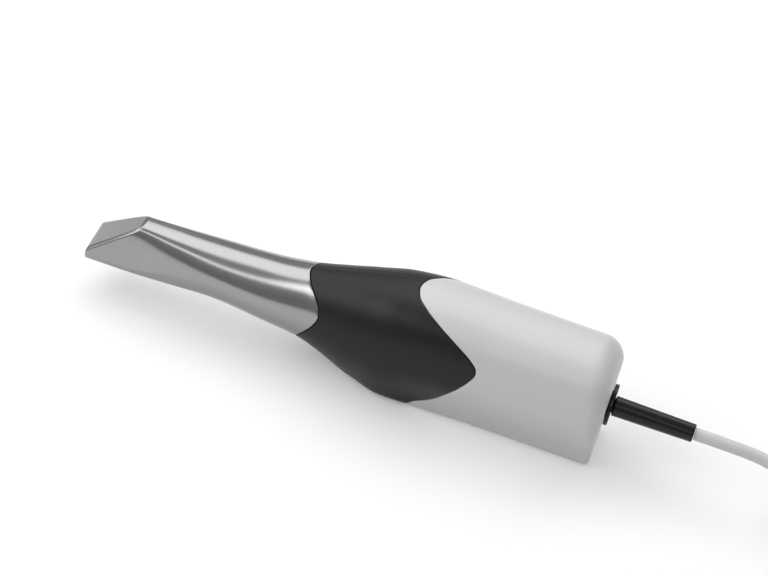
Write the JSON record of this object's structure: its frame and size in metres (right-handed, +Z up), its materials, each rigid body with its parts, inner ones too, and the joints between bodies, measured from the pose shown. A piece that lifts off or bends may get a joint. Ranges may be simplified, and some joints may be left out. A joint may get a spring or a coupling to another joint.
{
  "type": "intraoral scanner handpiece",
  "caption": "Dental scanner handpiece: pull-off steel tip sleeve over an optical nose, black grip with scan button, white body and a cable in a tied hank with its plug.",
  "frame": {"origin": "middle of the handpiece with its strain relief, on the table under its keel", "axes": "+X from the tip to the cable, +Z up from the keel, +Y to the side away from the picture's camera"},
  "size_m": [0.4588, 0.0658, 0.0589],
  "materials": {
    "satin_steel": "satin, glass-bead blasted",
    "bright_steel": "bright",
    "white_plastic": "semi-gloss moulded",
    "black_grip": "soft-touch matt",
    "black_plastic": "matt",
    "aluminium": "fine milled",
    "optical_glass": "polished, coated",
    "mirror_coat": "mirror",
    "copper_wire": "enamelled copper winding",
    "magnet_nickel": "nickel plated",
    "circuit_board": "solder resist",
    "chip_black": "moulded epoxy",
    "light_guide": "frosted translucent",
    "black_relief": "satin moulded",
    "grey_cable": "satin jacket"
  },
  "bodies": {
    "root": {"grip_shell": "black_grip", "body_shell": "white_plastic", "nose_tube": "black_plastic", "nose_collar": "black_plastic", "tip_mirror": "mirror_coat", "relay_mount_front": "aluminium", "relay_lens_front": "optical_glass", "relay_mount_rear": "aluminium", "relay_lens_rear": "optical_glass", "optical_bench": "aluminium", "flange_screw_1": "bright_steel", "flange_screw_2": "bright_steel", "flange_screw_3": "bright_steel", "flange_screw_4": "bright_steel", "board_screw_1": "bright_steel", "board_screw_2": "bright_steel", "board_screw_3": "bright_steel", "board_screw_4": "bright_steel", "guide_rod_right": "bright_steel", "guide_rod_left": "bright_steel", "magnet_yoke": "magnet_nickel", "beam_splitter": "optical_glass", "splitter_housing": "black_plastic", "projector_barrel": "black_plastic", "condenser_lens": "optical_glass", "led_board": "circuit_board", "projector_led": "light_guide", "heat_sink": "aluminium", "sensor_board": "circuit_board", "image_sensor": "chip_black", "main_board": "circuit_board", "processor": "chip_black", "board_connector": "black_plastic", "button_ring": "light_guide", "button_housing": "black_plastic", "button_board": "circuit_board", "button_switch": "black_plastic", "button_spring": "bright_steel", "cable_gland": "black_relief", "gland_nut": "bright_steel", "strain_relief": "black_relief", "cable_clamp": "bright_steel", "inner_lead": "grey_cable", "cable": "grey_cable", "cable_tail": "grey_cable", "cable_hank": "grey_cable", "cable_tie": "black_relief", "plug_housing": "black_relief", "plug_shell": "bright_steel", "plug_tongue": "black_plastic"},
    "sleeve": {"sleeve_shell": "satin_steel", "sleeve_window": "optical_glass"},
    "button": {"scan_button": "black_grip"},
    "focus": {"focus_carriage": "black_plastic", "focus_lens": "optical_glass", "voice_coil": "copper_wire"}
  },
  "joints": [
    {"name": "sleeve_pull", "type": "slide", "parent": "root", "child": "sleeve", "axis": [-1, 0, 0], "range_m": [0, 0.12]},
    {"name": "button_press", "type": "slide", "parent": "root", "child": "button", "axis": [0.1903, 0, 0.9817], "range_m": [0, 0.0008], "stiffness_N_per_m": 1500, "deforming": ["button_spring"]},
    {"name": "focus_slide", "type": "slide", "parent": "root", "child": "focus", "axis": [1, 0, 0], "range_m": [-0.003, 0.003]}
  ]
}
